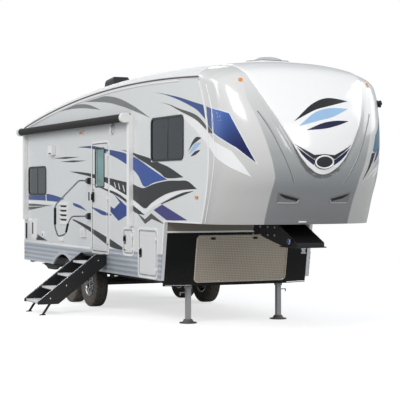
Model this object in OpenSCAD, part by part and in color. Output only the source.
// Fifth wheel travel trailer, parked on its landing legs with the entry steps down.
// The frame's origin is the kingpin's axis at the underside of the pin plate; +X runs forward,
// +Y to the road side and -Y to the curb side. Heights in this file are over the ground.

/* [Body] */
// Width over the side walls
body_w = 2490; // [2440:10:2540]
// Kingpin back to the outside of the rear wall
rear_back = 8700; // [8500:50:9300]
// Thickness of the laminated walls
wall_t = 50; // [40:1:60]
// Height of the cabin floor over the ground
floor_h = 970; // [960:1:985]
// Thickness of the cabin floor
floor_t = 110; // [90:5:110]
// Height of the overhang's underside
deck_h = 1520; // [1500:5:1540]
// Thickness of the bedroom deck
deck_t = 120; // [80:5:140]

/* [Roof] */
// Highest point of the side walls' top edge
roof_edge_h = 3625; // [3580:5:3700]
// Kingpin back to that highest point
roof_apex_back = 3100; // [2900:50:3400]
// Radius of the lengthwise roof arc
roof_arc_r = 37000; // [33000:500:45000]
// Rise of the crown over the side edges
roof_rise = 230; // [200:5:260]
// Thickness of the roof at the crown
roof_t = 60; // [50:1:80]

/* [Front cap] */
// Wall of the moulded cap
cap_t = 30; // [20:1:40]
// Kingpin back to the cap joint at the roof
joint_top_back = 740; // [700:10:800]
// Kingpin back to the cap joint at the overhang
joint_low_back = 640; // [600:10:700]
// Forward bow of the cap joint
joint_bow = 283; // [220:1:300]

/* [Lower front] */
// Kingpin back to the foot of the front wall, at its middle
front_back = 1920; // [1900:5:1950]
// How much further back the front wall's sides stand
front_bevel = 120; // [80:5:160]
// Height of the front wall's lower edge
front_low_h = 565; // [555:5:600]
// Half width of the front wall's flat middle
front_flat = 780; // [740:5:800]
// How far the front wall leans forward over its height
front_rake = 150; // [120:5:180]
// Height of the skirts' and storage floor's underside
skirt_low_h = 650; // [640:1:660]
// Height of the skirts' top edge
skirt_top_h = 1040; // [1030:1:1050]
// Thickness of the skirts with their ribs
skirt_t = 12; // [8:1:16]
// Wall thickness of the lower front
front_t = 40; // [30:1:50]

/* [Coupling] */
// Height of the pin plate over the ground
pin_h = 1200; // [1150:5:1230]
// Radius of the kingpin's shoulder
pin_r = 36.5; // [30:0.5:40]
// Length of the kingpin's shoulder
pin_shoulder = 26; // [20:1:30]
// Width of the pin box
pin_box_w = 420; // [360:10:480]

/* [Running gear] */
// Outer diameter of a tyre
tyre_d = 800; // [780:1:810]
// Width of a tyre
tyre_w = 230; // [215:1:240]
// Distance between the wheels' middle planes
track = 2110; // [2100:5:2120]
// Kingpin back to the front axle
axle_back = 5340; // [5300:10:5400]
// Distance between the two axles
axle_gap = 970; // [950:5:990]
// Half the distance between the frame rails' webs
rail_y = 860; // [850:1:865]
// Height of a frame rail
rail_tall = 300; // [280:5:310]
// Kingpin back to the landing legs
leg_back = 2125; // [2110:5:2160]
// Side of the landing legs' outer tube
leg_side = 90; // [80:1:95]

/* [Entry] */
// Kingpin back to the hinge edge of the doorway
door_back = 4165; // [4150:5:4200]
// Width of the entry door's leaf
door_w = 750; // [700:10:780]
// Height of the entry door's leaf
door_tall = 1780; // [1700:10:1850]
// Inside width between the step stringers
step_w = 680; // [600:10:700]
// Rise of one step
step_rise = 202; // [190:1:205]
// Run of one step
step_run = 270; // [250:1:280]
// Height of the first tread under the sill
step_first_h = 820; // [810:1:830]

/* [Slide-out room] */
// Kingpin back to the room's front side
slide_back = 3600; // [3550:10:3650]
// Length of the room
slide_len = 2700; // [2400:50:2900]
// Height of the room
slide_tall = 1960; // [1850:10:2000]
// Depth of the room inside the cabin
slide_deep = 915; // [880:5:940]

/* [Hatches] */
// Kingpin back to the large hatch's hinge edge
hatch_back = 2180; // [2170:5:2200]
// Width of the large hatch's leaf
hatch_w = 680; // [600:10:700]
// Height of the large hatch's leaf
hatch_tall = 680; // [600:10:700]
// Kingpin back to the small hatch's hinge edge
small_back = 3110; // [3105:5:3130]
// Width of the small hatch's leaf
small_w = 380; // [340:10:400]
// Height of the small hatch's leaf
small_tall = 370; // [330:10:380]

/* [Hidden] */
$fn = 48;

fit = 0.3;                 // gap left between pieces that seat on each other
run = 6;                   // running gap round doors and hatches
half_w = body_w / 2;
inner_y = half_w - wall_t; // inside face of the side walls
wall_low_h = floor_h - floor_t;
joint_gap = 1;             // gap in the joint between the side walls and the cap
joint_top_x = -joint_top_back;
joint_top_h = edge_h(joint_top_x);
bulkhead_x = -3090;        // rear face of the storage bulkhead
bulkhead_t = 40;
roof_seat = 40;            // depth of the roof's rim over the walls
deck_gap = 4;              // how far the deck lies above the overhang's lower edge
tyre_r = tyre_d / 2;
axle_h = tyre_r;
axles_x = [-axle_back, -axle_back - axle_gap];
rail_low_h = wall_low_h - rail_tall;
flange_w = 100;
flange_t = 12;
web_t = 8;

WALL = "gainsboro";
TRIM = "whitesmoke";
FRAME = [0.12, 0.12, 0.13];
ALLOY = "silver";
GLASS = [0.2, 0.25, 0.27];

// Height of the side walls' top edge at a place along the trailer
function edge_h(x) = roof_edge_h - roof_arc_r + sqrt(pow(roof_arc_r, 2) - pow(x + roof_apex_back, 2));

// Place of the cap joint at a height, a shallow bow between the overhang and the roof
function joint_x(h) = let (t = (h - deck_h) / (joint_top_h - deck_h))
    -joint_low_back * (1 - t) - joint_top_back * t + 4 * joint_bow * t * (1 - t);

// Front wall: lean of its face at a height, and its plan there, moved out by a distance
function lean(h) = front_rake * (h - skirt_low_h) / (deck_h - skirt_low_h);
function side_front_x(h) = -front_back - front_bevel + lean(h);
function front_plan(h, out) = [
    [side_front_x(h) + out, inner_y - fit, h],
    [-front_back + lean(h) + out, front_flat, h],
    [-front_back + lean(h) + out, -front_flat, h],
    [side_front_x(h) + out, -inner_y + fit, h]];

// Rounded quarter used across the cap and the roof: sideways and forward (or upward) shares at an angle
round_pow = 0.91;
function side_share(a) = sign(cos(a)) * pow(abs(cos(a)), round_pow);
function swell(a) = pow(max(0, sin(a)), round_pow);

// The cap's ribs, from the overhang up to the roof joint. Columns: height at the side, height at the
// middle, place where the straight side ends, place of the nose
cap_ribs = [
    [deck_h, deck_h, -500, 150],
    [1640, 1640, -450, 197],
    [1880, 1880, -385, 321],
    [2120, 2120, -300, 470],
    [2350, 2350, -242, 545],
    [2620, 2620, -212, 553],
    [2880, 2890, -195, 507],
    [3080, 3120, -175, 402],
    [3240, 3365, -175, 266],
    [3385, 3585, -235, 90],
    [3450, 3692, -390, -140],
    [3492, 3760, -600, -430],
    [joint_top_h, joint_top_h + roof_rise, joint_top_x + 1, joint_top_x + 1]];
arc_steps = 28;
rib_cuts = 2;              // ribs drawn for each step of the table

// Column j of the cap's ribs at a place between them, on a smooth curve through the table
function cap_at(i, j) = i < 0 ? 2 * cap_ribs[0][j] - cap_ribs[1][j]
    : i > len(cap_ribs) - 1 ? 2 * cap_ribs[i - 1][j] - cap_ribs[i - 2][j] : cap_ribs[i][j];
function cap_value(v, j) = let (i = min(floor(v), len(cap_ribs) - 2), t = v - i,
        a = cap_at(i - 1, j), b = cap_at(i, j), c = cap_at(i + 1, j), d = cap_at(i + 2, j))
    b + (c - a) / 2 * t + (a - 2.5 * b + 2 * c - d / 2) * t * t + (1.5 * (b - c) + (d - a) / 2) * t * t * t;
cap_cuts = (len(cap_ribs) - 1) * rib_cuts;
cap_rows = [for (k = [0:cap_cuts]) if (k != cap_cuts - 1) [for (j = [0:3]) cap_value(k / rib_cuts, j)]];
cap_last = len(cap_rows) - 1;

// One rib as points from the road side round the nose to the curb side; deep moves it inwards
function rib(i, deep) = let (
        r = cap_rows[i],
        last = i == cap_last,
        top = r[0] > 2700 ? deep : 0,
        drop = last ? roof_seat - top : 0,
        w = half_w - deep,
        low = r[0] - top,
        jx = last ? joint_top_x : joint_x(low),
        x0 = last ? r[2] : r[2] - deep,
        x1 = last ? r[3] : r[3] - deep,
        rise = r[1] - r[0])
    concat([[jx, w, low - drop]],
        [for (k = [0:arc_steps]) let (a = 180 * k / arc_steps)
            [x0 + (x1 - x0) * swell(a), w * side_share(a), low + rise * swell(a)]],
        [[jx, -w, low - drop]]);

// A closed shell between two grids of points with the same rows and columns
module shell(outer, inner) {
    rows = len(outer);
    cols = len(outer[0]);
    o = rows * cols;
    points = concat([for (row = outer) each row], [for (row = inner) each row]);
    skin = [for (i = [0:rows - 2], j = [0:cols - 2]) each [
        [i * cols + j, i * cols + j + 1, (i + 1) * cols + j + 1],
        [i * cols + j, (i + 1) * cols + j + 1, (i + 1) * cols + j]]];
    lining = [for (f = skin) [o + f[0], o + f[2], o + f[1]]];
    last = (rows - 1) * cols;
    low_rim = [for (j = [0:cols - 2]) each [[j, o + j, o + j + 1], [j, o + j + 1, j + 1]]];
    top_rim = [for (j = [0:cols - 2]) let (a = last + j) each [[a, a + 1, o + a + 1], [a, o + a + 1, o + a]]];
    first_rim = [for (i = [0:rows - 2]) let (a = i * cols, b = a + cols) each [[a, b, o + b], [a, o + b, o + a]]];
    last_rim = [for (i = [0:rows - 2]) let (a = (i + 1) * cols - 1, b = a + cols)
        each [[a, o + a, o + b], [a, o + b, b]]];
    polyhedron(points, concat(skin, lining, low_rim, top_rim, first_rim, last_rim), convexity = 6);
}

// Rounded rectangle about its own middle, with true arcs
module rounded_rect(w, h, r) {
    square([w - 2 * r, h], center = true);
    square([w, h - 2 * r], center = true);
    for (sx = [-1, 1], sy = [-1, 1])
        translate([sx * (w / 2 - r), sy * (h / 2 - r)])
            circle(r);
}

// A flat ring with rounded corners, of a border width, round an inner rounded rectangle
module ring(w, h, r, border) {
    difference() {
        rounded_rect(w + 2 * border, h + 2 * border, r + border);
        rounded_rect(w, h, r);
    }
}

// Raises an outline drawn in X and height into a plate between two distances to the side
module side_plate(side, y0, y1) {
    translate([0, side > 0 ? y1 : -y0, 0])
        rotate([90, 0, 0])
            linear_extrude(y1 - y0)
                children();
}

// Raises an outline drawn in Y and height into a plate that starts at x0 and is t thick, forward
module cross_plate(x0, t) {
    translate([x0, 0, 0])
        rotate([90, 0, 90])
            linear_extrude(t)
                children();
}

// Puts a piece on both sides, as mirror images
module both_sides() {
    children();
    mirror([0, 1, 0])
        children();
}

// Everything is drawn over the ground and lowered so that the pin plate is at height zero
module from_ground() {
    translate([0, 0, -pin_h])
        children();
}

// Chassis

rail_front_x = -leg_back + leg_side / 2 + 20;
rail_rear_x = -rear_back + 60;

module i_section(tall) {
    square([flange_w, flange_t], center = true);
    translate([0, (tall - flange_t) / 2])
        square([web_t, tall - flange_t], center = true);
    translate([0, tall - flange_t])
        square([flange_w, flange_t], center = true);
}

module frame_rails() {
    color(FRAME)
        both_sides() {
            translate([rail_rear_x, rail_y, rail_low_h + flange_t / 2])
                rotate([90, 0, 90])
                    linear_extrude(bulkhead_x - rail_rear_x)
                        i_section(rail_tall);
            translate([bulkhead_x, rail_y - flange_w / 2, rail_low_h])
                cube([rail_front_x - bulkhead_x, flange_w, skirt_low_h - fit - rail_low_h]);
        }
}

cross_x = [-8500, -7700, -6900, -5825, -4700, -3900, -3200];
cross_w = 60;
cross_tall = 130;
belly_t = 6;
belly_h = rail_low_h + flange_t + fit;
outrigger_x = [-8500, -7700, -7000, -4500, -3900, -3300];
outrigger_t = 40;

// Cross members between the rails' webs, and tapered arms from the webs out to the side walls
module cross_members() {
    reach = rail_y - web_t / 2 - fit;
    top_h = wall_low_h - flange_t - fit;
    near_y = rail_y + web_t / 2 + fit;
    far_y = inner_y - 20;
    color(FRAME) {
        for (x = cross_x)
            translate([x - cross_w / 2, -reach, belly_h + belly_t + fit])
                cube([cross_w, 2 * reach, cross_tall]);
        both_sides()
            for (x = outrigger_x)
                cross_plate(x - outrigger_t / 2, outrigger_t)
                    polygon([[near_y, top_h], [near_y, top_h - 140], [far_y, top_h - 60], [far_y, top_h]]);
    }
}

bumper_side = 100;
module rear_bumper() {
    x = -rear_back - 30 - bumper_side;
    w = body_w - 320;
    h = rail_low_h + 40;
    color(FRAME) {
        translate([x, -w / 2, h])
            cube([bumper_side, w, bumper_side]);
        both_sides()
            translate([x + bumper_side, rail_y - 30, h + 15])
                cube([rail_rear_x - fit - x - bumper_side, 60, 70]);
    }
}

module belly_sheet() {
    reach = rail_y - web_t / 2 - fit;
    color([0.16, 0.16, 0.17])
        translate([rail_rear_x + 20, -reach, belly_h])
            cube([bulkhead_x - rail_rear_x - 40, 2 * reach, belly_t]);
}

module main_floor() {
    reach = inner_y - fit;
    color([0.45, 0.36, 0.28])
        translate([-rear_back + wall_t + fit, -reach, wall_low_h])
            cube([bulkhead_x - fit + rear_back - wall_t - fit, 2 * reach, floor_t]);
}

// Deck over the storage and the overhang; its front follows the cap's lowest rib from inside
module front_deck() {
    reach = inner_y - fit;
    nose = [for (p = rib(0, cap_t + fit)) [p[0], p[1]]];
    color([0.45, 0.36, 0.28])
        translate([0, 0, deck_h + deck_gap])
            linear_extrude(deck_t)
                polygon(concat([[bulkhead_x, -reach], [bulkhead_x, reach], [joint_x(deck_h + deck_t) + fit, reach]],
                    [for (p = nose) if (p[0] > joint_x(deck_h + deck_t) + 10) p],
                    [[joint_x(deck_h + deck_t) + fit, -reach]]));
}

module storage_floor() {
    reach = inner_y - fit;
    hole = leg_side + 2 * fit;
    color([0.3, 0.3, 0.31])
        translate([0, 0, skirt_low_h])
            difference() {
                linear_extrude(40)
                    polygon([[bulkhead_x + bulkhead_t + fit, -reach], [bulkhead_x + bulkhead_t + fit, reach],
                        [side_front_x(skirt_low_h) - front_t - fit, reach],
                        [-front_back - front_t - fit, front_flat], [-front_back - front_t - fit, -front_flat],
                        [side_front_x(skirt_low_h) - front_t - fit, -reach]]);
                for (s = [-1, 1])
                    translate([-leg_back - hole / 2, s * leg_y - hole / 2, -10])
                        cube([hole, hole, 60]);
            }
}

module bulkhead() {
    color(WALL)
        translate([bulkhead_x, -inner_y + fit, skirt_low_h])
            cube([bulkhead_t, 2 * (inner_y - fit), deck_h + deck_gap - fit - skirt_low_h]);
}

// Walls

roof_steps = 24;
roof_rows = [for (i = [0:roof_steps]) -rear_back + (rear_back - joint_top_back - fit) * i / roof_steps];

// Heights at which the walls' front edge follows the cap joint
wall_joint_top = cap_rows[cap_last - 1][0] - cap_t;
wall_joint_hs = concat([for (r = cap_rows) if (r[0] < wall_joint_top - 5) r[0]], [wall_joint_top]);

// Side wall in X and height: bottom, raked front, overhang, cap joint and the roof's arc
module side_outline() {
    polygon(concat(
        [[-rear_back + wall_t + fit, wall_low_h], [bulkhead_x, wall_low_h], [bulkhead_x, skirt_low_h],
            [side_front_x(skirt_low_h), skirt_low_h], [side_front_x(deck_h), deck_h]],
        [for (h = wall_joint_hs) [joint_x(h) - joint_gap, h]],
        [for (i = [roof_steps:-1:1]) [roof_rows[i], edge_h(roof_rows[i]) - roof_seat - fit]],
        [[-rear_back + wall_t + fit, edge_h(-rear_back + wall_t) - roof_seat - fit - 4]]));
}

// Windows. Columns: side (+1 road, -1 curb), middle in X, sill height, width, height
windows = [
    [-1, -1810, 2430, 1140, 610],
    [-1, -7905, 1920, 1030, 500],
    [1, -1810, 2430, 1140, 610],
    [1, -7700, 1980, 900, 560]];
window_r = 75;
glass_t = 8;

module at_window(win) {
    translate([win[1], win[2] + win[4] / 2])
        children();
}

door_low_h = floor_h + 8;
door_mid_x = -door_back - door_w / 2;
door_r = 60;
hatch_low_h = skirt_low_h + 50;
hatch_mid_x = -hatch_back - hatch_w / 2;
small_low_h = 1000;
small_mid_x = -small_back - small_w / 2;
hatch_r = 40;

module at_door() {
    translate([door_mid_x, door_low_h + door_tall / 2])
        children();
}

module at_hatch() {
    translate([hatch_mid_x, hatch_low_h + hatch_tall / 2])
        children();
}

module at_small() {
    translate([small_mid_x, small_low_h + small_tall / 2])
        children();
}

module opening(w, h, r) {
    rounded_rect(w + 2 * run, h + 2 * run, r + run);
}

module curb_openings() {
    at_door()
        opening(door_w, door_tall, door_r);
    at_hatch()
        opening(hatch_w, hatch_tall, hatch_r);
    at_small()
        opening(small_w, small_tall, hatch_r);
}

module curb_wall() {
    color(WALL)
        side_plate(-1, inner_y, half_w)
            difference() {
                side_outline();
                curb_openings();
                for (win = windows)
                    if (win[0] < 0)
                        at_window(win)
                            rounded_rect(win[3], win[4], window_r);
            }
}

slide_low_h = floor_h + 10 + fit;
slide_mid_x = -slide_back - slide_len / 2;
slide_gap = 10;
module slide_opening() {
    translate([slide_mid_x, floor_h - 5 + (slide_tall + slide_gap + 15 + fit) / 2])
        square([slide_len + 2 * slide_gap, slide_tall + slide_gap + 15 + fit], center = true);
}

module road_wall() {
    color(WALL)
        side_plate(1, inner_y, half_w)
            difference() {
                side_outline();
                slide_opening();
                at_hatch()
                    opening(hatch_w, hatch_tall, hatch_r);
                for (win = windows)
                    if (win[0] > 0)
                        at_window(win)
                            rounded_rect(win[3], win[4], window_r);
            }
}

rear_win = [1240, 620];
rear_win_h = 1900;

// Underside of the roof at a place along the trailer, as points across from the curb side
function roof_under(x) = [for (j = [0:arc_steps - 2]) let (a = 180 * j / (arc_steps - 2))
    [-inner_y * side_share(a), edge_h(x) - roof_seat + (roof_rise - roof_t + roof_seat) * swell(a)]];

module rear_wall() {
    top = roof_under(-rear_back);
    color(WALL)
        cross_plate(-rear_back, wall_t)
            difference() {
                polygon(concat([[half_w, wall_low_h], [-half_w, wall_low_h],
                    [-half_w, edge_h(-rear_back) - roof_seat - fit]],
                    [for (p = top) [p[0], p[1] - fit]], [[half_w, edge_h(-rear_back) - roof_seat - fit]]));
                translate([0, rear_win_h + rear_win[1] / 2])
                    rounded_rect(rear_win[0], rear_win[1], window_r);
            }
}

module front_wall() {
    color([0.07, 0.07, 0.08])
        shell([front_plan(front_low_h, 0), front_plan(deck_h - fit, 0)],
            [front_plan(front_low_h, -front_t), front_plan(deck_h - fit, -front_t)]);
}

module front_cap() {
    color("gainsboro")
        shell([for (i = [0:cap_last]) rib(i, 0)], [for (i = [0:cap_last]) rib(i, cap_t)]);
}

module roof() {
    outer = [for (x = roof_rows) [for (k = [0:arc_steps]) let (a = 180 * k / arc_steps)
        [x, -half_w * side_share(a), edge_h(x) + roof_rise * swell(a)]]];
    inner = [for (x = roof_rows) concat([[x, -half_w, edge_h(x) - roof_seat]],
        [for (p = roof_under(x)) [x, p[0], p[1]]], [[x, half_w, edge_h(x) - roof_seat]])];
    color("white")
        shell(outer, inner);
}

// Skirts and trims

arch_r = 820;
arch_top_h = 850;
arch_h = arch_top_h - arch_r;
vee_x = -axle_back - axle_gap / 2;
vee_h = 770;
arch_shift = 60;           // how far the arches' middles stand outside the axles
skirt_rear_x = -rear_back + 4;

// Wheel opening over one pair of axles: two flat arches that meet in a point, grown by a border
module wheel_opening(grow) {
    rear_x = axles_x[1] - arch_shift;
    front_x = axles_x[0] + arch_shift;
    difference() {
        union() {
            for (x = [rear_x, front_x])
                translate([x, arch_h])
                    circle(arch_r + grow, $fn = 128);
        }
        translate([rear_x - 1000, -2000])
            square([front_x - rear_x + 2000, skirt_low_h - 10 + 2000]);
        polygon([[vee_x, vee_h + grow], [vee_x - 160, 1000 + grow], [vee_x + 160, 1000 + grow]]);
    }
    translate([rear_x - 540 - grow, 300])
        square([front_x - rear_x + 2 * (540 + grow), skirt_low_h - 10 - 300]);
}

module skirt_outline() {
    difference() {
        polygon([[skirt_rear_x, skirt_low_h], [side_front_x(skirt_low_h), skirt_low_h],
            [side_front_x(skirt_top_h), skirt_top_h], [skirt_rear_x, skirt_top_h]]);
        wheel_opening(0);
    }
}

frame_border = 34;
rib_pitch = 78;
module side_skirt(side) {
    difference() {
        side_plate(side, half_w + fit, half_w + skirt_t)
            difference() {
                skirt_outline();
                at_hatch()
                    square([hatch_w + 2 * (run + frame_border), hatch_tall + 2 * (run + frame_border)], center = true);
                if (side > 0)
                    translate([slide_mid_x, slide_low_h - slide_flange - run + 500])
                        square([slide_len + 2 * (slide_flange + run), 1000], center = true);
                if (side < 0) {
                    at_door()
                        square([door_w + 2 * (run + frame_border), door_tall + 2 * (run + frame_border)], center = true);
                    at_small()
                        square([small_w + 2 * (run + frame_border), small_tall + 2 * (run + frame_border)], center = true);
                }
            }
        for (k = [1:4])
            translate([-rear_back - 10, side * (half_w + skirt_t), skirt_low_h + k * rib_pitch])
                rotate([45, 0, 0])
                    cube([rear_back, 7, 7], center = false);
    }
}

module side_skirts() {
    color([0.66, 0.68, 0.71]) {
        side_skirt(-1);
        side_skirt(1);
    }
}

lip_w = 50;
lip_t = 22;
module fender_lips() {
    color([0.75, 0.77, 0.8])
        both_sides()
            side_plate(1, half_w + skirt_t + fit, half_w + skirt_t + lip_t)
                difference() {
                    wheel_opening(lip_w);
                    wheel_opening(0);
                    translate([vee_x - 2000, -1000])
                        square([4000, skirt_low_h + 1000]);
                }
}

trim_w = 40;
trim_t = 6;

// Strip along the cap joint, the drip rail along the roof's edge, and the raked front corner
module joint_strip() {
    heights = [for (i = [0:cap_last - 1]) cap_rows[i][0]];
    polygon(concat([for (h = heights) [joint_x(h) - trim_w / 2, h]],
        [for (i = [len(heights) - 1:-1:0]) [joint_x(heights[i]) + trim_w / 2, heights[i]]]));
}

module corner_strip() {
    polygon([[side_front_x(skirt_top_h + 6) - trim_w, skirt_top_h + 6], [side_front_x(skirt_top_h + 6), skirt_top_h + 6],
        [side_front_x(deck_h), deck_h], [joint_x(deck_h) - trim_w, deck_h], [joint_x(deck_h) - trim_w, deck_h + 26],
        [side_front_x(deck_h) - trim_w, deck_h + 26]]);
}

module drip_rail() {
    rows = [for (i = [0:roof_steps - 2]) roof_rows[i]];
    polygon(concat([for (x = rows) [x, edge_h(x) - roof_seat - 12]],
        [for (i = [roof_steps - 2:-1:0]) [rows[i], edge_h(rows[i]) - roof_seat + 14]]));
}

module edge_trims() {
    color(TRIM) {
        both_sides() {
            side_plate(1, half_w + fit, half_w + trim_t)
                joint_strip();
            side_plate(1, half_w + fit, half_w + trim_t)
                corner_strip();
            side_plate(1, half_w + fit, half_w + trim_t + 6)
                drip_rail();
            side_plate(1, half_w + fit, half_w + trim_t)
                translate([-rear_back, skirt_top_h + 6])
                    square([34, edge_h(-rear_back) - roof_seat - 20 - skirt_top_h]);
        }
        shell([front_plan(deck_h - 160, trim_t), front_plan(deck_h - 135, trim_t)],
            [front_plan(deck_h - 160, fit), front_plan(deck_h - 135, fit)]);
    }
}

// Embossed guard plate on the front wall's flat middle, with one corner cut for the pin box's cable
module front_guard() {
    w = 2 * front_flat - 20;
    tall = 720;
    low = front_low_h + 50;
    rake = atan2(front_rake, deck_h - skirt_low_h);
    color([0.75, 0.72, 0.66])
        translate([-front_back + fit, 0, skirt_low_h])
            rotate([0, rake, 0])
                cross_plate(0, 8)
                    translate([0, low - skirt_low_h + tall / 2])
                        difference() {
                            rounded_rect(w, tall, 60);
                            polygon([[w / 2 + 5, tall / 2 - 110], [w / 2 + 5, tall / 2 + 5], [w / 2 - 230, tall / 2 + 5]]);
                        }
}

// Coupling

plate_t = 15;
module pin_box() {
    half = pin_box_w / 2;
    top_h = deck_h + deck_gap - fit;
    side = [[-1080, top_h - 12], [-330, top_h - 12], [200, pin_h + 70], [200, pin_h + plate_t],
        [-230, pin_h + plate_t], [-760, pin_h + 120], [-1080, pin_h + 200]];
    color(FRAME) {
        difference() {
            side_plate(1, -half, half)
                polygon(side);
            side_plate(1, -half + 14, half - 14)
                polygon([[-1066, deck_h - 30], [-360, deck_h - 30], [120, pin_h + 75], [120, pin_h + plate_t + 12],
                    [-226, pin_h + plate_t + 12], [-226, pin_h - 60], [-1066, pin_h - 60]]);
        }
        translate([-1140, -half - 40, top_h - 12])
            cube([860, pin_box_w + 80, 12]);
        difference() {
            translate([-240, -half - 30, pin_h])
                cube([450, pin_box_w + 60, plate_t]);
            translate([0, 0, pin_h - 1])
                cylinder(h = plate_t + 2, r = stem_r + fit);
        }
    }
}

stem_r = pin_r + 0.5;
pin_groove = 35;
pin_foot = 23;
module kingpin() {
    foot_r = pin_r - 0.8;
    low = pin_shoulder + pin_groove + pin_foot;
    color("silver")
        translate([0, 0, pin_h])
            rotate_extrude($fn = 72)
                polygon([[0, plate_t - fit], [stem_r, plate_t - fit], [stem_r, 0], [pin_r, 0], [pin_r, -pin_shoulder], [25.4, -pin_shoulder - 6],
                    [25.4, -pin_shoulder - pin_groove], [foot_r, -pin_shoulder - pin_groove - 3],
                    [foot_r, -low + 4], [foot_r - 4, -low], [0, -low]]);
}

// Windows

module window_frames() {
    color([0.08, 0.08, 0.09]) {
        for (win = windows)
            side_plate(win[0], half_w + fit, half_w + 12)
                at_window(win)
                    ring(win[3] - 20, win[4] - 20, window_r - 10, 30);
        cross_plate(-rear_back - 12, 12 - fit)
            translate([0, rear_win_h + rear_win[1] / 2])
                ring(rear_win[0] - 20, rear_win[1] - 20, window_r - 10, 30);
    }
}

module window_glass() {
    color(GLASS) {
        for (win = windows)
            side_plate(win[0], half_w - glass_t, half_w)
                at_window(win)
                    rounded_rect(win[3] - 2 * fit, win[4] - 2 * fit, window_r);
        cross_plate(-rear_back, glass_t)
            translate([0, rear_win_h + rear_win[1] / 2])
                rounded_rect(rear_win[0] - 2 * fit, rear_win[1] - 2 * fit, window_r);
    }
}

// Doors and hatches

leaf_out = 8;     // how far a leaf stands proud of the wall
hinge_y = half_w + skirt_t + 13;

// Frames round the entry door, the large hatches on both sides and the small hatch
module door_frames() {
    border = frame_border - fit;
    color(TRIM) {
        side_plate(-1, half_w + fit, half_w + skirt_t)
            at_door()
                ring(door_w + 2 * run, door_tall + 2 * run, door_r + run, border);
        for (s = [-1, 1])
            side_plate(s, half_w + fit, half_w + skirt_t)
                at_hatch()
                    ring(hatch_w + 2 * run, hatch_tall + 2 * run, hatch_r + run, border);
        side_plate(-1, half_w + fit, half_w + skirt_t)
            at_small()
                ring(small_w + 2 * run, small_tall + 2 * run, hatch_r + run, border);
        frame_knuckles(-door_back, door_hinges);
        frame_knuckles(-small_back, small_hinges);
        both_sides()
            mirror([0, 1, 0])
                frame_knuckles(-hatch_back, hatch_hinges);
    }
}

door_glass_w = 400;
door_glass_tall = 620;
door_glass_h = 2050;

module at_door_glass() {
    translate([door_mid_x - 15, door_glass_h + door_glass_tall / 2])
        children();
}

// Butt hinges: the leaf carries the outer knuckles of each hinge and the frame the middle one
knuckle_r = 7.5;
knuckle_tall = 40;
knuckle_gap = 0.3;

module leaf_knuckles(x, heights) {
    for (h = heights, k = [-1, 1])
        translate([x, -hinge_y, h + k * (knuckle_tall + knuckle_gap) - knuckle_tall / 2]) {
            cylinder(h = knuckle_tall, r = knuckle_r);
            translate([-40, 0, 0])
                cube([40, hinge_y - half_w - leaf_out + 2, knuckle_tall]);
        }
}

module frame_knuckles(x, heights) {
    for (h = heights)
        translate([x, -hinge_y, h - knuckle_tall / 2]) {
            cylinder(h = knuckle_tall, r = knuckle_r);
            translate([0, 0, 0])
                cube([run + 20, hinge_y - half_w - skirt_t + 2, knuckle_tall]);
        }
}

door_hinges = [door_low_h + 200, door_low_h + door_tall / 2, door_low_h + door_tall - 200];
hatch_hinges = [hatch_low_h + 110, hatch_low_h + hatch_tall - 110];
small_hinges = [small_low_h + 80, small_low_h + small_tall - 80];

module entry_door() {
    color(WALL) {
        difference() {
            side_plate(-1, inner_y, half_w + leaf_out)
                at_door()
                    rounded_rect(door_w, door_tall, door_r);
            side_plate(-1, inner_y - 10, half_w + 30)
                at_door_glass()
                    rounded_rect(door_glass_w, door_glass_tall, 50);
        }
        leaf_knuckles(-door_back, door_hinges);
        translate([-door_back - door_w + 45, -half_w - leaf_out - 26, 1800])
            cube([46, 30, 150]);
        translate([-door_back - door_w + 58, -half_w - leaf_out - 44, 1830])
            cube([20, 22, 90]);
    }
}

module door_glass() {
    color("cadetblue")
        side_plate(-1, half_w - 14, half_w - 14 + glass_t)
            at_door_glass()
                rounded_rect(door_glass_w - 2 * fit, door_glass_tall - 2 * fit, 50);
}

// A hatch leaf with its knuckles and latch
module hatch_leaf(back, w, tall, low_h, hinges) {
    side_plate(-1, inner_y, half_w + leaf_out)
        translate([-back - w / 2, low_h + tall / 2])
            rounded_rect(w, tall, hatch_r);
    leaf_knuckles(-back, hinges);
    translate([-back - w + 30, -half_w - leaf_out - 14, low_h + tall * 0.45])
        cube([40, 18, 110]);
}

module curb_hatch() {
    color(WALL)
        hatch_leaf(hatch_back, hatch_w, hatch_tall, hatch_low_h, hatch_hinges);
}

module small_hatch() {
    color(WALL)
        hatch_leaf(small_back, small_w, small_tall, small_low_h, small_hinges);
}

module road_hatch() {
    color(WALL)
        mirror([0, 1, 0])
            hatch_leaf(hatch_back, hatch_w, hatch_tall, hatch_low_h, hatch_hinges);
}

// Folding grab handle: one bent tube with a soft grip, swung out beside the steps
handle_r = 13;
handle_x = -5040;
handle_pin_y = half_w + 62;
handle_h = [1550, 2145];
handle_path = [[-handle_pin_y, handle_h[1]], [-1440, handle_h[1] + 8], [-1862, 1740], [-1866, 1370], [-1812, 1215],
    [-1680, 1255], [-1630, 1460], [-1570, handle_h[0]], [-handle_pin_y, handle_h[0]]];
handle_bend = 45;

function unit(v) = v / norm(v);

// Rounds each inner corner of a path with a short curve
function rounded_path(path, cut) = concat([path[0]],
    [for (i = [1:len(path) - 2]) let (
            a = path[i] - cut * unit(path[i] - path[i - 1]),
            b = path[i] + cut * unit(path[i + 1] - path[i]))
        each [for (t = [0:0.25:1]) (1 - t) * (1 - t) * a + 2 * t * (1 - t) * path[i] + t * t * b]],
    [path[len(path) - 1]]);

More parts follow.
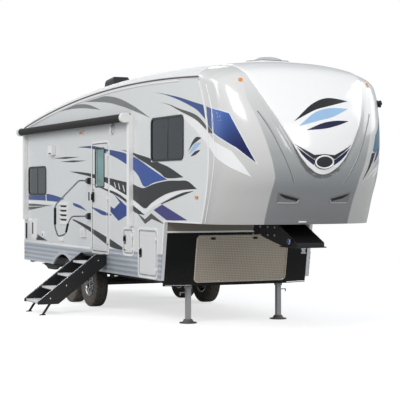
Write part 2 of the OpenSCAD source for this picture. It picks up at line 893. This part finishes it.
// Tube swept along a path in the plane of Y and height
module bent_tube(path, r, sides) {
    last = len(path) - 1;
    rings = [for (i = [0:last]) let (
            along = unit(path[min(i + 1, last)] - path[max(i - 1, 0)]),
            side = [-along[1], along[0]])
        [for (k = [0:sides]) let (a = 360 * k / sides)
            [r * sin(a), path[i][0] + r * cos(a) * side[0], path[i][1] + r * cos(a) * side[1]]]];
    points = [for (ring = rings) each [for (k = [0:sides - 1]) ring[k]]];
    skin = [for (i = [0:last - 1], k = [0:sides - 1]) let (m = (k + 1) % sides, a = i * sides, b = a + sides) each [
        [a + k, b + m, a + m], [a + k, b + k, b + m]]];
    first = [[for (k = [0:sides - 1]) k]];
    end = [[for (k = [sides - 1:-1:0]) last * sides + k]];
    polyhedron(points, concat(skin, first, end), convexity = 6);
}

module grab_handle() {
    color("silver")
        translate([handle_x, 0, 0]) {
            bent_tube(rounded_path(handle_path, handle_bend), handle_r, 12);
            for (h = handle_h)
                translate([0, -handle_pin_y, h - 40])
                    cylinder(h = 80, r = 20);
            translate([0, -1864, 1420])
                cylinder(h = 270, r = 19);
        }
}

// Slide-out room, open to the cabin, with skids on the floor and a flange over the wall
slide_t = 40;
slide_flange = 45;
slide_win = [1500, 640];
slide_win_h = 1900;
slide_face_y = half_w + 6;

module slide_box(grow, y0, y1) {
    translate([slide_mid_x - slide_len / 2 - grow, y0, slide_low_h - grow])
        cube([slide_len + 2 * grow, y1 - y0, slide_tall + 2 * grow]);
}

module slide_room() {
    inside_y = half_w - slide_deep;
    color(WALL) {
        difference() {
            union() {
                slide_box(0, inside_y, slide_face_y + 1);
                slide_box(slide_flange, slide_face_y, slide_face_y + 24);
            }
            slide_box(-slide_t, inside_y - 10, slide_face_y - 20);
            translate([slide_mid_x, slide_face_y - 40, slide_win_h + slide_win[1] / 2])
                rotate([-90, 0, 0])
                    linear_extrude(80)
                        rounded_rect(slide_win[0], slide_win[1], window_r);
        }
        for (s = [-1, 1])
            translate([slide_mid_x + s * (slide_len / 2 - 300) - 30, inside_y, floor_h + fit])
                cube([60, inner_y - 20 - inside_y, 10]);
    }
}

module slide_window() {
    color(GLASS)
        translate([slide_mid_x, slide_face_y, slide_win_h + slide_win[1] / 2])
            rotate([-90, 0, 0])
                linear_extrude(14)
                    rounded_rect(slide_win[0] - 2 * fit, slide_win[1] - 2 * fit, window_r);
}

// Fittings on the walls

// Boxes on the curb wall. Columns: middle in X, low height, width, height, depth
wall_boxes = [
    [-6970, 2630, 240, 170, 70],
    [-5345, 1190, 220, 150, 35],
    [-6500, 1085, 260, 60, 18]];

module wall_fittings() {
    color(TRIM) {
        for (b = wall_boxes)
            translate([b[0] - b[2] / 2, -half_w - b[4], b[1]])
                cube([b[2], b[4] - fit, b[3]]);
        translate([-4000, -half_w - fit, 2970])
            rotate([90, 0, 0])
                cylinder(h = 30, r = 85);
        for (h = handle_h)
            translate([handle_x - 30, -half_w - handle_pin_y + half_w + 20 + fit, h - 50])
                cube([60, handle_pin_y - half_w - 20 - 2 * fit, 100]);
    }
}

// Louvred grilles. Columns: middle in X, low height, width, height, slats
grilles = [
    [-6370, 1380, 400, 400, 4],
    [-8060, 1090, 300, 360, 0]];
module vent_grilles() {
    color([0.3, 0.3, 0.31])
        for (g = grilles)
            side_plate(-1, half_w + fit, half_w + 16)
                translate([g[0], g[1] + g[3] / 2])
                    difference() {
                        rounded_rect(g[2], g[3], 20);
                        for (k = [0:1:g[4] - 1])
                            translate([0, g[3] * ((k + 0.5) / g[4] - 0.5) * 0.8])
                                square([g[2] * 0.8, g[3] / g[4] * 0.25], center = true);
                    }
}

// Marker lamps on the wall plane, and tail lamps on the rear wall
module lamps() {
    color("orangered") {
        both_sides() {
            translate([-750 - 60, -half_w - 22, 1870])
                cube([70, 22 - fit, 30]);
            translate([-rear_back + 60, -half_w - skirt_t - 14, 780])
                cube([60, 14 - fit, 30]);
            translate([-rear_back - 30, half_w - 200, 900])
                cube([30 - fit, 130, 300]);
        }
    }
}

// Awning

arm_front_x = -3165;
arm_rear_x = -8560;
arm_low_h = 1430;
arm_w = 100;
roller_r = 64;
roller_y = half_w + 125;
roller_h = 3110;

module awning_arms() {
    color(TRIM)
        for (x = [arm_front_x, arm_rear_x]) {
            translate([x - arm_w / 2, -half_w - 70, arm_low_h])
                cube([arm_w, 70 - fit, roller_h - arm_low_h]);
            translate([x + arm_w / 2, -roller_y, roller_h])
                rotate([0, -90, 0])
                    cylinder(h = arm_w, r = roller_r + 14);
            translate([x - arm_w / 2, -roller_y, roller_h - 45])
                cube([arm_w, roller_y - half_w - fit, 90]);
        }
}

module awning_roller() {
    gap = fit;
    x0 = arm_rear_x + arm_w / 2 + gap;
    x1 = arm_front_x - arm_w / 2 - gap;
    color([0.2, 0.2, 0.2])
        translate([x0, 0, 0]) {
            translate([0, -roller_y, roller_h])
                rotate([0, 90, 0])
                    cylinder(h = x1 - x0, r = roller_r, $fn = 64);
            translate([0, -roller_y, roller_h + roller_r - 8])
                cube([x1 - x0, roller_y - half_w - fit, 8]);
        }
}

// Steps

stringer_t = 26;
stringer_x = [-door_back - door_w / 2 - 15 - step_w / 2 - stringer_t, -door_back - door_w / 2 - 15 + step_w / 2];
first_y = half_w + 355;
step_slope = step_rise / step_run;

function step_line(y, off) = step_first_h + off - step_slope * (y - first_y);

module stringer_outline() {
    root_y = half_w + skirt_t + lip_t + fit;
    foot_y = first_y + 3 * step_run + 25;
    foot_h = 170;
    deep = 300;
    polygon([[-root_y, 945], [-(first_y + (step_first_h + 20 - 945) / step_slope), 945], [-foot_y, step_line(foot_y, 20)],
        [-foot_y, foot_h], [-(first_y + (step_first_h + 20 - deep - foot_h) / step_slope), foot_h],
        [-root_y, step_line(root_y, 20 - deep)]]);
}

module step_stringers() {
    leg_y0 = first_y + 2 * step_run + 60;
    color(FRAME)
        for (x = stringer_x) {
            cross_plate(x, stringer_t)
                stringer_outline();
            cross_plate(x + 3, stringer_t - 6)
                polygon([[-leg_y0, 200], [-leg_y0 - 40, 200], [-leg_y0 - 165, 20], [-leg_y0 - 205, 12], [-leg_y0 - 205, 0],
                    [-leg_y0 - 105, 0], [-leg_y0 - 105, 12], [-leg_y0 - 125, 20]]);
        }
}

tread_t = 36;
tread_deep = 262;
module step_treads() {
    x0 = stringer_x[0] + stringer_t + fit;
    w = step_w - 2 * fit;
    color([0.2, 0.2, 0.21]) {
        for (k = [0:3]) {
            y = first_y + k * step_run;
            h = step_first_h - k * step_rise;
            translate([x0, -y, h - tread_t])
                cube([w, tread_deep, tread_t]);
        }
        translate([x0, -half_w - skirt_t - 190, 910])
            cube([w, 190 - fit, 30]);
    }
}

// Running gear

leg_y = rail_y - flange_w / 2 - leg_side / 2 - fit;
leg_low_h = 520;
inner_leg = 70;
module landing_legs() {
    color([0.6, 0.61, 0.62])
        both_sides()
            translate([-leg_back, leg_y, 0]) {
                translate([-leg_side / 2, -leg_side / 2, leg_low_h])
                    cube([leg_side, leg_side, deck_h + deck_gap - fit - leg_low_h]);
                translate([-inner_leg / 2, -inner_leg / 2, 60])
                    cube([inner_leg, inner_leg, leg_low_h - 60]);
                translate([0, leg_side / 2 - 20, leg_low_h - 60])
                    rotate([-90, 0, 0])
                        cylinder(h = 110, r = 8);
                translate([-8, leg_side / 2 + 78, leg_low_h - 100])
                    cube([16, 12, 44]);
            }
}

module leg_feet() {
    color(FRAME)
        both_sides()
            translate([-leg_back, leg_y, 0]) {
                cylinder(h = 14, r = 130);
                translate([0, 0, 14])
                    cylinder(h = 60 - fit - 14, r1 = 90, r2 = 62);
            }
}

module scissor_jacks() {
    len = 760;
    color(FRAME)
        both_sides()
            translate([-rear_back + 180, rail_y, 0]) {
                translate([0, -45, rail_low_h - fit - 20])
                    cube([len, 90, 20]);
                side_plate(1, -35, 35)
                    polygon([[40, rail_low_h - fit - 20], [len - 40, rail_low_h - fit - 20], [len - 200, rail_low_h - 80],
                        [200, rail_low_h - 80]]);
            }
}

spring_w = 60;
seat_h = axle_h + 50;
spring_half = 330;
eye_h = seat_h + 74;

module axles() {
    color(FRAME)
        for (x = axles_x) {
            translate([x, -(track / 2 - 125), axle_h])
                rotate([-90, 0, 0])
                    cylinder(h = track - 250, r = 38);
            both_sides() {
                translate([x, track / 2 - 126, axle_h])
                    rotate([-90, 0, 0])
                        cylinder(h = 116, r = 28);
                translate([x - 50, rail_y - 32, axle_h])
                    cube([100, 64, seat_h - axle_h - fit]);
            }
        }
}

// One leaf of a spring, an arc that rises towards its ends
module leaf(half_len, low_h) {
    rise = eye_h - seat_h - 28;
    r = (pow(spring_half, 2) + pow(rise, 2)) / (2 * rise);
    intersection() {
        translate([0, low_h + r])
            difference() {
                circle(r, $fn = 256);
                circle(r - 8, $fn = 256);
            }
        translate([-half_len, low_h - 10])
            square([2 * half_len, 120]);
    }
}

module hanger(x) {
    translate([x - 32, eye_h - 22])
        square([64, rail_low_h - fit - eye_h + 22]);
}

module spring_side() {
    for (x = axles_x)
        translate([x, 0]) {
            for (k = [0:3])
                leaf(spring_half - (3 - k) * 75, seat_h + k * 7.6);
            for (s = [-1, 1])
                translate([s * spring_half, eye_h])
                    circle(20);
        }
    hanger(axles_x[0] + spring_half);
    hanger(axles_x[1] - spring_half);
    polygon([[vee_x - 155, eye_h - 12], [vee_x + 155, eye_h - 12], [vee_x + 155, eye_h + 8], [vee_x + 45, rail_low_h - fit],
        [vee_x - 45, rail_low_h - fit], [vee_x - 155, eye_h + 8]]);
}

module leaf_springs() {
    color([0.2, 0.2, 0.21])
        both_sides()
            side_plate(1, rail_y - spring_w / 2, rail_y + spring_w / 2)
                spring_side();
}

// Tyre section in radius and offset, one half mirrored
bead_r = 204;
bead_w = 88;
module tyre(x, side) {
    half = [[bead_r, bead_w], [236, bead_w + 4], [275, tyre_w / 2 - 3], [310, tyre_w / 2], [345, tyre_w / 2 - 4],
        [tyre_r - 24, tyre_w / 2 - 13], [tyre_r - 9, tyre_w / 2 - 22], [tyre_r - 2, tyre_w / 2 - 42], [tyre_r, tyre_w / 2 - 70]];
    color([0.1, 0.1, 0.1])
        translate([x, side * track / 2, axle_h])
            rotate([90, 0, 0])
                rotate_extrude($fn = 96)
                    polygon(concat(half, [for (i = [len(half) - 1:-1:0]) [half[i][0], -half[i][1]]]));
}

module rim(x, side) {
    r = bead_r - fit;
    color(ALLOY)
        translate([x, side * track / 2, axle_h])
            rotate([-90 * side, 0, 0])
                difference() {
                    rotate_extrude($fn = 96)
                        polygon([[0, 88], [38, 88], [46, 80], [46, 62], [82, 58], [96, 66], [150, 62], [178, 72], [188, 92],
                            [218, 100], [222, 94], [218, bead_w + 3], [r, bead_w + 2], [r, -bead_w - 2], [218, -bead_w - 3],
                            [222, -94], [216, -98], [188, -84], [176, -60], [176, 30], [150, 40], [125, 38], [125, -40],
                            [28.5, -40], [28.5, 45], [0, 45]]);
                    for (k = [0:7])
                        rotate([0, 0, 45 * k])
                            translate([0, 0, 20])
                                linear_extrude(80)
                                    polygon([[105, -12], [142, -34], [160, -38], [168, 0], [160, 38], [142, 34], [105, 12]]);
                }
}

// Roof gear

function crown_h(x) = edge_h(x) + roof_rise;
function roof_slope(x) = atan(-(x + roof_apex_back) / roof_arc_r);

// Sets a unit on the crown of the roof, leaning with the roof's slope, its foot cut to the roof's section
module on_roof(x, len) {
    translate([x, 0, crown_h(x) + fit])
        rotate([0, -roof_slope(x), 0])
            difference() {
                children();
                cross_plate(-len, 2 * len)
                    polygon(concat([[-half_w, -400]], [for (k = [0:arc_steps]) let (a = 180 * k / arc_steps)
                        [-half_w * side_share(a), roof_rise * (swell(a) - 1)]], [[half_w, -400]]));
            }
}

// Rear roof cooler: a low shroud and the raised hood on it. Columns: middle in X and Y, length and width
// at the foot, length and width of the top, height, lean of the top
cooler_x = -6750;
coolers = [
    [0, 0, 1000, 640, 800, 500, 165, -30],
    [110, -110, 500, 360, 390, 270, 355, -15]];
foot_drop = 60;
module roof_coolers() {
    color([0.12, 0.13, 0.15])
        on_roof(cooler_x, 1200)
            for (c = coolers)
                translate([c[0], c[1], 0])
                    hull() {
                        translate([-c[2] / 2, -c[3] / 2, -foot_drop])
                            cube([c[2], c[3], foot_drop + c[6] * 0.25]);
                        translate([c[7] - c[4] / 2 - 20, -c[5] / 2 - 20, c[6] * 0.5])
                            cube([c[4] + 40, c[5] + 40, c[6] * 0.38]);
                        translate([c[7] - c[4] / 2, -c[5] / 2, c[6] * 0.5])
                            cube([c[4], c[5], c[6] * 0.5]);
                    }
}

// Roof vents. Columns: middle in X, length, width, height of the rim, height of the lid
vents = [
    [-7900, 400, 400, 50, 90],
    [-4300, 400, 400, 50, 90],
    [-1050, 560, 480, 30, 95]];
module roof_vents() {
    color("whitesmoke")
        for (v = vents)
            on_roof(v[0], v[1])
                translate([0, 0, -foot_drop]) {
                    linear_extrude(foot_drop + v[3])
                        rounded_rect(v[1], v[2], 40);
                    linear_extrude(foot_drop + (v[3] + v[4]) / 2)
                        rounded_rect(v[1] - 80, v[2] - 80, 40);
                    linear_extrude(foot_drop + v[4])
                        rounded_rect(v[1] - 200, v[2] - 200, 40);
                }
}

ladder_y = 620;
rung_gap = 300;
ladder_stand = 90;         // how far the ladder stands off the rear wall
ladder_half = 190;
ladder_low_h = 1050;
ladder_tall = 2050;
module ladder() {
    rail_x = -rear_back - ladder_stand;
    color("silver") {
        for (s = [-1, 1])
            translate([rail_x, ladder_y + s * ladder_half, ladder_low_h]) {
                cylinder(h = ladder_tall, r = 14);
                for (h = [60, ladder_tall / 2, ladder_tall - 60])
                    translate([0, 0, h])
                        rotate([0, 90, 0])
                            cylinder(h = ladder_stand - fit, r = 11);
            }
        for (k = [0:5])
            translate([rail_x - 18, ladder_y - ladder_half, ladder_low_h + 150 + k * rung_gap])
                cube([36, 2 * ladder_half, 22]);
    }
}

from_ground() frame_rails();
from_ground() cross_members();
from_ground() rear_bumper();
from_ground() belly_sheet();
from_ground() main_floor();
from_ground() front_deck();
from_ground() storage_floor();
from_ground() bulkhead();
from_ground() curb_wall();
from_ground() road_wall();
from_ground() rear_wall();
from_ground() front_wall();
from_ground() front_cap();
from_ground() roof();
from_ground() side_skirts();
from_ground() fender_lips();
from_ground() edge_trims();
from_ground() front_guard();
from_ground() pin_box();
from_ground() kingpin();
from_ground() window_frames();
from_ground() window_glass();
from_ground() door_frames();
from_ground() wall_fittings();
from_ground() vent_grilles();
from_ground() lamps();
from_ground() awning_arms();
from_ground() awning_roller();
from_ground() step_stringers();
from_ground() step_treads();
from_ground() landing_legs();
from_ground() leg_feet();
from_ground() scissor_jacks();
from_ground() axles();
from_ground() leaf_springs();
from_ground() roof_coolers();
from_ground() roof_vents();
from_ground() ladder();
from_ground() entry_door();
from_ground() door_glass();
from_ground() curb_hatch();
from_ground() small_hatch();
from_ground() road_hatch();
from_ground() grab_handle();
from_ground() slide_room();
from_ground() slide_window();
from_ground() tyre(axles_x[0], -1);  // tyre_curb_front
from_ground() rim(axles_x[0], -1);  // rim_curb_front
from_ground() tyre(axles_x[1], -1);  // tyre_curb_rear
from_ground() rim(axles_x[1], -1);  // rim_curb_rear
from_ground() tyre(axles_x[0], 1);  // tyre_road_front
from_ground() rim(axles_x[0], 1);  // rim_road_front
from_ground() tyre(axles_x[1], 1);  // tyre_road_rear
from_ground() rim(axles_x[1], 1);  // rim_road_rear
